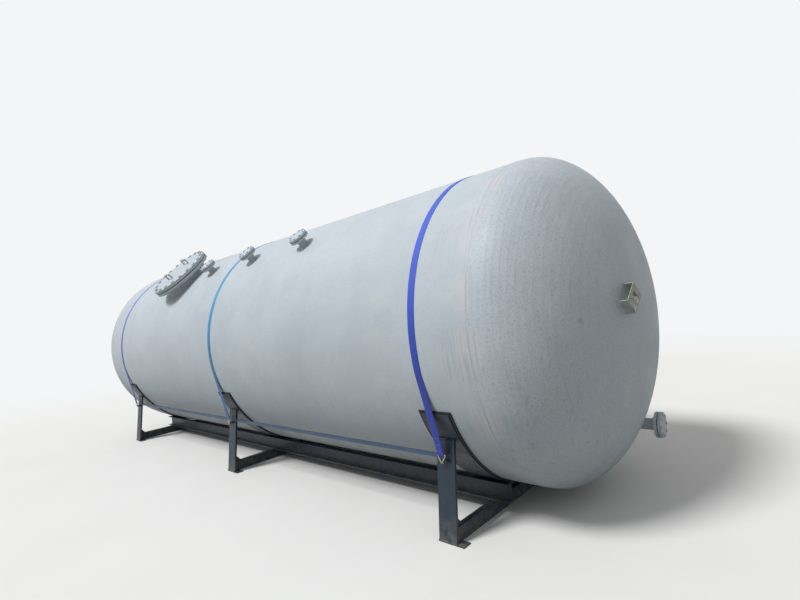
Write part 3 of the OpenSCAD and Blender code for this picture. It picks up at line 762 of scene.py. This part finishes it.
def postOnBandWelds(x, s):
    # the post's upper end touches the band in a line: one bead over it, one under it
    drop, side = radians(cradle["postDrop"]), Vector((cradle["postW"] / 2, 0, 0))
    bandR, axisZ = cradle["bandR"], tank["axisZ"]
    innerFoot = cradle["footY"] - cradle["postT"] / cos(lean)
    low = drop
    for guess in range(30):
        # where the post's inner face meets the band
        z = axisZ - bandR * sin(low)
        low = acos((innerFoot - z * tan(lean)) / bandR)
    over = (drop, (0, s, 0), (0, s * sin(drop), cos(drop)))
    under = (low, (0, s * sin(lean), -cos(lean)), (0, -s * sin(low), -cos(low)))
    parts = []
    for angle, legA, legB in (over, under):
        corner = Vector((x, s * bandR * cos(angle), axisZ - bandR * sin(angle)))
        parts.append(straightBead(corner - side, corner + side, legA, legB, frameWeld["leg"]))
    return parts


def beamWelds(x, s):
    # gusset on the cross beam and on the post, the beam's end on the post, and the long beam on top
    beamX = x + copysign(cradle["beamShift"], x) if x else 0.0
    top, rise = cradle["beamTop"], frameWeld["gusset"]
    inner = s * (webY(top) - cradle["postT"] / cos(lean))
    innerTop = s * (webY(top + rise) - cradle["postT"] / cos(lean))
    half = cradle["beamW"] / 2
    leg = frameWeld["smallLeg"]
    parts = []
    for e in (-1, 1):
        side = beamX + e * frameWeld["gussetT"] / 2
        corner = Vector((side, inner, top))
        parts.append(straightBead(corner, Vector((side, inner - s * rise, top)), (e, 0, 0), (0, 0, 1), leg))
        parts.append(straightBead(corner, Vector((side, innerTop, top + rise)), (e, 0, 0), (0, -s, 0), leg))
        parts.append(straightBead(corner, Vector((beamX + e * half, inner, top)), (0, -s, 0), (0, 0, 1), leg))
    for y, way in zip(cradle["longBeamY"], (-1, 1)):
        start, end = Vector((beamX - half, s * y, top)), Vector((beamX + half, s * y, top))
        parts.append(straightBead(start, end, (0, way * s, 0), (0, 0, 1), leg))
    return parts


def eyeWelds(x, s):
    # feet of the lashing eye, in the frame of the post's face: X along the tank, Y up the post
    upWeb = Vector((0, -s * sin(lean), cos(lean)))
    outWeb = Vector((0, s * cos(lean), sin(lean)))
    face = Matrix((Vector((1, 0, 0)), upWeb, outWeb)).transposed().to_4x4()
    face.translation = Vector((x, s * cradle["footY"], 0)) + upWeb * (lashing["ringH"] / cos(lean))
    apart = (lashing["ringW"] + lashing["ringD"]) / 2
    leg = frameWeld["smallLeg"]
    return [ringBead((e * apart, 0, 0), lashing["ringD"] / 2, leg, leg, frameWeld["pitch"], face,
                     frameWeld["eyeSteps"], bead["eyeCrown"]) for e in (-1, 1)]


for x in cradle["frames"].values():
    for s in (-1, 1):
        cradleParts += footWelds(x, s) + postOnBandWelds(x, s) + beamWelds(x, s) + eyeWelds(x, s)
# ends of the tie bars on the posts' sides
tie = dict(top=0.575, leg=0.025, thick=0.006, ends=((2.975, -1), (0.075, 1), (-0.075, -1), (-2.975, 1)))
for s in (-1, 1):
    y0 = cradle["footY"] - tie["top"] * tan(lean) - tie["thick"]
    for x, e in tie["ends"]:
        corner = Vector((x, s * y0, tie["top"]))
        inward, below = Vector((0, -s * tie["leg"], 0)), Vector((0, 0, -tie["leg"]))
        cradleParts.append(straightBead(corner, corner + inward, (e, 0, 0), (0, 0, 1), frameWeld["smallLeg"]))
        cradleParts.append(straightBead(corner, corner + below, (e, 0, 0), (0, s, 0), frameWeld["smallLeg"]))
makePiece("cradle_welds", cradleParts, framePaint, closedMesh=False, sharp=80)
print("cradle welds made")


# Rubber under the saddles

rubber = dict(half=0.14, drop=23.39, edge=0.0032, wave=0.0012, waves=(9, 17, 31), steps=132)


def rubberStrip(x):
    # belt with rounded, slightly wavy cut edges, bent round the tank
    steps, inner, outer = rubber["steps"], tank["radius"], cradle["rubberR"]
    phases = [[chance.uniform(0, 2 * pi) for wave in rubber["waves"]] for side in (-1, 1)]
    e = rubber["edge"]
    verts = []
    for k in range(steps + 1):
        phi = radians(180 + rubber["drop"] + (180 - 2 * rubber["drop"]) * k / steps)
        radial = Vector((0, cos(phi), sin(phi)))
        section = []
        for side, phase in zip((-1, 1), phases):
            waves = sum(sin(phi * wave + p) for wave, p in zip(rubber["waves"], phase))
            w = rubber["half"] - abs(rubber["wave"] * waves / 2)
            edge = [(w - e * 0.3, inner + 0.0004), (w, inner + e * 0.8), (w - 0.0006, (inner + outer) / 2),
                    (w, outer - e * 0.8), (w - e * 0.3, outer - 0.0003)]
            section += [(side * a, b) for a, b in (edge if side > 0 else reversed(edge))]
        verts += [Vector((x + a, 0, tank["axisZ"])) + radial * b for a, b in section]
    return verts, tubeFaces(steps + 1, len(section))


for name, x in cradle["frames"].items():
    makePiece(name + "_belt_strip", [rubberStrip(x)], stripRubber, replaced=[name + "_rubber"])
print("rubber made")


# Straps, hooks and ratchets

webR = lashing["inner"] + lashing["thick"] / 2
ringY = cradle["footY"] - lashing["ringH"] * tan(lean) + lashing["ringReach"] * cos(lean)
ringZ = lashing["ringH"] + lashing["ringReach"] * sin(lean)
ringDist = hypot(ringY, tank["axisZ"] - ringZ)
leave = atan2(tank["axisZ"] - ringZ, ringY) - acos(webR / ringDist)
runDown = sqrt(ringDist ** 2 - webR ** 2)
runLean = atan(-lashing["shift"] / runDown)
runLen = runDown / cos(runLean)
bareLen = runLen - lashing["hookLen"]
barZ = bareLen + lashing["hookBar"]  # the hook's bar, down the run


def runFrame(x, s):
    # frame of a straight run: X across it, Y away from the tank, Z down to the lashing eye
    out = Vector((0, s * cos(leave), -sin(leave)))
    along = Vector((0, -s * sin(leave), -cos(leave)))
    origin = Vector((x + lashing["shift"], 0, tank["axisZ"])) + out * webR
    upright = Matrix(((1, 0, 0, origin.x), (0, out.y, along.y, origin.y), (0, out.z, along.z, origin.z),
                      (0, 0, 0, 1)))
    return upright @ Matrix.Rotation(runLean, 4, "Y")


def onRun(place, y, z, lean=0.0):
    # station of a band on a straight run: its place, outward, across
    turn = place.to_3x3()
    return place @ Vector((0, y, z)), turn @ Vector((0, cos(lean), sin(lean))), turn @ Vector((1, 0, 0))


def strapPath(x):
    # middle line of the band from the front hook over the crown to the back hook
    steps = lashing["runSteps"]
    front, back = [[onRun(runFrame(x, s), 0, bareLen * (1 - k / steps)) for k in range(steps)]
                   for s in (-1, 1)]
    centre = Vector((x + lashing["shift"], 0, tank["axisZ"]))
    arc = []
    for k in range(lashing["arcSteps"] + 1):
        phi = pi + leave - (pi + 2 * leave) * k / lashing["arcSteps"]
        n = Vector((0, cos(phi), sin(phi)))
        arc.append((centre + n * webR, n, Vector((1, 0, 0))))
    return front + arc + back[::-1]


selvedge = ((-0.96, 0.62), (-0.75, 0.97), (-0.3, 1.0), (0.0, 0.96), (0.3, 1.0), (0.75, 0.97), (0.96, 0.62))


def bandAlong(path, width, thick):
    # flat woven band with rounded edges, and its cloth map in metres
    section = []
    for side in (1, -1):
        section += [(a * side * width / 2, b * side * thick / 2) for a, b in selvedge]
        section.append((side * width / 2, 0.0))
    verts, flat = [], []
    run, last = 0.0, None
    for p, out, across in path:
        run += (p - last).length if last else 0.0
        last = p
        for a, b in section:
            verts.append(p + across * a + out * b)
            flat.append((a, run))
    return verts, tubeFaces(len(path), len(section)), flat


def makeCloth(name, bands, material, replaced):
    # joins bands into one piece that keeps their cloth maps
    flat = [uv for band in bands for uv in band[2]]
    piece = makePiece(name, [band[:2] for band in bands], material, replaced=replaced, sharp=60)
    layer = piece.data.uv_layers.new(name="cloth")
    for loop in piece.data.loops:
        layer.data[loop.index].uv = flat[loop.vertex_index]
    return piece


sewn = dict(
    fold=0.13, lift=0.0031, taper=0.0012, loopR=0.0072, narrow=0.98, stitch=0.006, thread=0.0007,
    threadLift=0.0019, start=0.014, perRow=16, perBar=9, rows=(-0.0225, -0.0075, 0.0075, 0.0225),
    bars=(-0.004, 0.047, 0.099), barSide=-0.0265, loopSteps=8, foldSteps=10)


def sewnEnd(x, s):
    # the band turned round the hook's bar and sewn back on itself
    place = runFrame(x, s)
    path = []
    for k in range(sewn["loopSteps"] + 1):
        a = pi * k / sewn["loopSteps"]
        y, z = -sewn["loopR"] * cos(a), barZ + sewn["loopR"] * sin(a)
        path.append(onRun(place, y, z, pi - a))
    for k in range(sewn["foldSteps"]):
        t = (k + 1) / sewn["foldSteps"]
        path.append(onRun(place, sewn["lift"] + sewn["taper"] * (1 - t), barZ - sewn["fold"] * t - 0.004))
    return bandAlong(path, lashing["width"] * sewn["narrow"], lashing["woven"])


# one thread: how far along it, and how far above the fold
stitchLine = ((0, -0.0006), (0.0012, 0), (0.0034, 0), (0.0046, -0.0006))


def stitches(x, s):
    # rows of short raised threads that hold the fold, and three bars across it
    place = runFrame(x, s)
    y = sewn["lift"] + sewn["threadLift"]
    zTop = bareLen + sewn["start"] - sewn["fold"]
    spots = [(u, zTop + k * sewn["stitch"], 0, 1) for u in sewn["rows"] for k in range(sewn["perRow"])]
    spots += [(sewn["barSide"] + k * sewn["stitch"], zTop + z, 1, 0) for z in sewn["bars"]
              for k in range(sewn["perBar"])]
    parts = []
    for u, z, du, dz in spots:
        points = [place @ Vector((u + du * t, y + lift, z + dz * t)) for t, lift in stitchLine]
        parts.append(rodAlong(points, sewn["thread"], 5))
    return parts


hook = dict(clear=0.0012, clawX=0.0065, halfW=0.0325, corner=0.006, clawSteps=10, cornerSteps=4)


def wireHook(x, s):
    # one bent wire: claw, leg, bar through the sewn loop, leg, claw
    place = runFrame(x, s)
    bend = lashing["ringD"] / 2 + lashing["wire"] / 2 + hook["clear"]
    half = []
    for k in range(hook["clawSteps"] + 1):
        # the claw closes round the eye from its inner side
        a = pi * (1 - k / hook["clawSteps"])
        half.append(Vector((hook["clawX"], bend * cos(a), runLen + bend * sin(a))))
    legTop = Vector((hook["halfW"], 0, barZ + 0.008))
    legFoot = Vector((hook["clawX"] + 0.0003, bend, runLen - 0.006))
    half += [legFoot.lerp(legTop, t) for t in (0, 0.25, 0.5, 0.75, 0.9)]
    for k in range(hook["cornerSteps"] + 1):
        a = pi / 2 * k / hook["cornerSteps"]
        inward, rise = hook["corner"] * (1 - cos(a)), hook["corner"] * (1 - sin(a))
        half.append(Vector((hook["halfW"] - inward, 0, barZ + rise)))
    points = half + [Vector((-p.x, p.y, p.z)) for p in reversed(half)]
    return rodAlong([place @ p for p in points], lashing["wire"] / 2, 12)


# the ratchet: side 1 is the back run; z runs down it, y away from the tank
buckle = dict(
    side=1, z0=0.07, length=0.11, halfW=0.0335, spoolY=0.0187, spoolZ=0.097, wheel=0.019, teeth=13,
    rollTurns=1.6, rollR=0.0092, rollGrow=0.0022, rollNarrow=0.005, rollSteps=45)


def ratchetParts(x, s):
    # cheeks, handle, toothed wheels, spool, bolts, grip and pawl plate
    place = runFrame(x, s)
    z0, z1, halfW = buckle["z0"], buckle["z0"] + buckle["length"], buckle["halfW"]
    parts = []
    # in the outlines x runs out and y runs down
    sideways = Matrix(((0, 0, 1, 0), (1, 0, 0, 0), (0, 1, 0, 0), (0, 0, 0, 1)))
    frameOutline = [(0.0023, z0 + 0.002), (0.016, z0), (0.026, z0 + 0.006), (0.031, z0 + 0.018),
                    (0.031, z0 + 0.038), (0.024, z0 + 0.05), (0.015, z0 + 0.062), (0.014, z1 - 0.012),
                    (0.011, z1 - 0.003), (0.0023, z1)]
    handleOutline = [(0.012, z0 + 0.016), (0.026, z0 + 0.01), (0.033, z0 + 0.022), (0.0345, z0 + 0.05),
                     (0.0325, z1 - 0.016), (0.029, z1 - 0.004), (0.0225, z1 - 0.006), (0.0235, z0 + 0.06),
                     (0.013, z0 + 0.042)]
    teeth = []
    for a in circle(buckle["teeth"]):
        b = a + 2 * pi / buckle["teeth"] * 0.82
        for angle, reach in ((a, buckle["wheel"] * 0.8), (b, buckle["wheel"] * 0.94)):
            out = buckle["spoolY"] + reach * cos(angle)
            teeth.append((min(max(out, 0.0024), 0.0352), buckle["spoolZ"] + reach * sin(angle)))
    for e in (-1, 1):
        for outline, thick, apart in ((frameOutline, 0.003, 0.0), (handleOutline, 0.0026, 0.0037),
                                      (teeth, 0.003, -0.0033)):
            side = place @ Matrix.Translation((e * (halfW + apart) - thick / 2, 0, 0)) @ sideways
            parts.append(plateOf(outline, thick, side))
        cap = place @ Matrix.Translation((e * (halfW + 0.0055), buckle["spoolY"], buckle["spoolZ"]))
        cap = cap @ Matrix.Rotation(e * pi / 2, 4, "Y")
        parts.append(revolved([(0.0095, -0.001), (0.0095, 0.0005), (0.008, 0.002)], 20, cap))
    # spool, and the two bolts that hold the far end of the webbing and the handle
    for y, z, r in ((buckle["spoolY"], buckle["spoolZ"], 0.0075), (0.009, z1 - 0.012, 0.0042),
                    (0.03, z1 - 0.005, 0.0042)):
        reach = halfW + 0.005
        pin = place @ Matrix.Translation((-reach, y, z)) @ Matrix.Rotation(pi / 2, 4, "Y")
        profile = [(r - 0.0008, 0), (r, 0.0009), (r, 2 * reach - 0.0009), (r - 0.0008, 2 * reach)]
        parts.append(revolved(profile, 18, pin))
    # handle grip: a folded bar between the handle's cheeks, and the pawl plate
    flatways = Matrix(((1, 0, 0, 0), (0, 0, 1, 0), (0, 1, 0, 0), (0, 0, 0, 1)))
    for y, z, w, h in ((0.0305, z1 - 0.026, halfW + 0.003, 0.018),
                       (0.0285, z0 + 0.058, halfW + 0.002, 0.012)):
        outline = [(-w, z), (w, z), (w, z + h), (w - 0.006, z + h + 0.004), (-w + 0.006, z + h + 0.004),
                   (-w, z + h)]
        parts.append(plateOf(outline, 0.003, place @ Matrix.Translation((0, y, 0)) @ flatways))
    return parts


def spoolRoll(x, s):
    # webbing wound on the ratchet's spool
    place = runFrame(x, s)
    path = []
    for k in range(buckle["rollSteps"] + 1):
        t = k / buckle["rollSteps"]
        a = 2 * pi * buckle["rollTurns"] * t
        r = buckle["rollR"] + buckle["rollGrow"] * t
        y, z = buckle["spoolY"] - r * cos(a), buckle["spoolZ"] + r * sin(a)
        path.append(onRun(place, y, z, pi - a))
    return bandAlong(path, lashing["width"] - buckle["rollNarrow"], buckle["rollGrow"])


for name, x in cradle["frames"].items():
    bands = [bandAlong(strapPath(x), lashing["width"], lashing["woven"])]
    bands += [sewnEnd(x, s) for s in (-1, 1)]
    bands.append(spoolRoll(x, buckle["side"]))
    makeCloth(name + "_webbing_band", bands, webbings[name], [name + "_strap"])
    threads = [part for s in (-1, 1) for part in stitches(x, s)]
    makePiece(name + "_stitching", threads, sewingThread, sharp=60)
    metal = [wireHook(x, s) for s in (-1, 1)] + ratchetParts(x, buckle["side"])
    makePiece(name + "_ratchet_buckle", metal, zinc, replaced=[name + "_ratchet"])
print("straps made")


# Floor, light and camera

stageLook = dict(
    floor="#ECECEA", floorCloud="#E9E9E7", bounce="#8E8E8A", backdrop="#F4F5F6", size=80.0, fadeFrom=5.0,
    fadeTo=15.0, world=0.37, sunPower=2.55, sunTurn=(38, -22), sunSoft=16)


def seenByCamera(add):
    # 1 where the camera looks, straight or by a mirror or glass, and 0 for the light on the object
    seen = add("LightPath", output="Is Camera Ray")
    for ray in ("Is Glossy Ray", "Is Transmission Ray"):
        seen = add("Math", [seen, add("LightPath", output=ray)], operation="MAXIMUM")
    return seen


def studioFloor():
    # pale to the camera, mid grey to the light that it throws back, and one with the backdrop far away
    look = stageLook
    material, shader, add, place = startMaterial("paleStudioFloor", roughness=0.85)
    seen = seenByCamera(add)
    colour = laidOver(add, look["floor"], look["floorCloud"], noisy(add, place, 1.4, (0.3, 0.7), detail=3.0))
    colour = laidOver(add, look["bounce"], colour, seen)
    material.node_tree.links.new(colour, shader.inputs["Base Color"])
    away = add("VectorMath", [place], "Value", operation="LENGTH")
    fade = add("MapRange", [away, look["fadeFrom"], look["fadeTo"]], interpolation_type="SMOOTHSTEP")
    fade = add("Math", [fade, seen], operation="MULTIPLY")
    backdrop = add("Emission", [look["backdrop"], 1.0])
    mixed = add("MixShader", [fade, shader.outputs[0], backdrop])
    material.node_tree.links.new(mixed, material.node_tree.nodes["Material Output"].inputs["Surface"])
    bpy.ops.mesh.primitive_plane_add(size=look["size"], location=(0, 0, -0.0005))
    floor = bpy.context.object
    floor.name = "studio_floor"
    floor.data.materials.append(material)


def studioLight():
    # even pale sky and one soft sun
    look = stageLook
    world = bpy.data.worlds.new("paleStudio")
    bpy.context.scene.world = world
    world.use_nodes = True
    add = partial(addNode, world)
    lighting = add("Background", ["#FFFFFF", look["world"]])
    shown = add("Background", [look["backdrop"], 1.0])
    mixed = add("MixShader", [seenByCamera(add), lighting, shown])
    world.node_tree.links.new(mixed, world.node_tree.nodes["World Output"].inputs["Surface"])
    sun = bpy.data.lights.new("softKey", "SUN")
    sun.energy = look["sunPower"]
    sun.angle = radians(look["sunSoft"])
    lamp = bpy.data.objects.new("softKey", sun)
    lamp.rotation_euler = (radians(look["sunTurn"][0]), 0, radians(look["sunTurn"][1]))
    bpy.context.scene.collection.objects.link(lamp)


studioFloor()
studioLight()

view = dict(
    place=(5.0559, -3.6217, 1.5964), right=(0.73278, 0.67284, -0.10156), up=(0.09324, 0.04856, 0.99446),
    back=(0.67405, -0.73819, -0.02715), focalPixels=455.95, pixels=800, sensor=36)
camera = bpy.data.objects.new("camera", bpy.data.cameras.new("camera"))
bpy.context.scene.collection.objects.link(camera)
camera.data.sensor_width = view["sensor"]
camera.data.lens = view["focalPixels"] / view["pixels"] * view["sensor"]
camera.data.clip_start, camera.data.clip_end = 0.05, 200
looking = Matrix((view["right"], view["up"], view["back"])).transposed().to_4x4()
camera.matrix_world = Matrix.Translation(view["place"]) @ looking
bpy.context.scene.camera = camera
bpy.context.scene.view_settings.view_transform = "Standard"
print("stage, light and camera made")
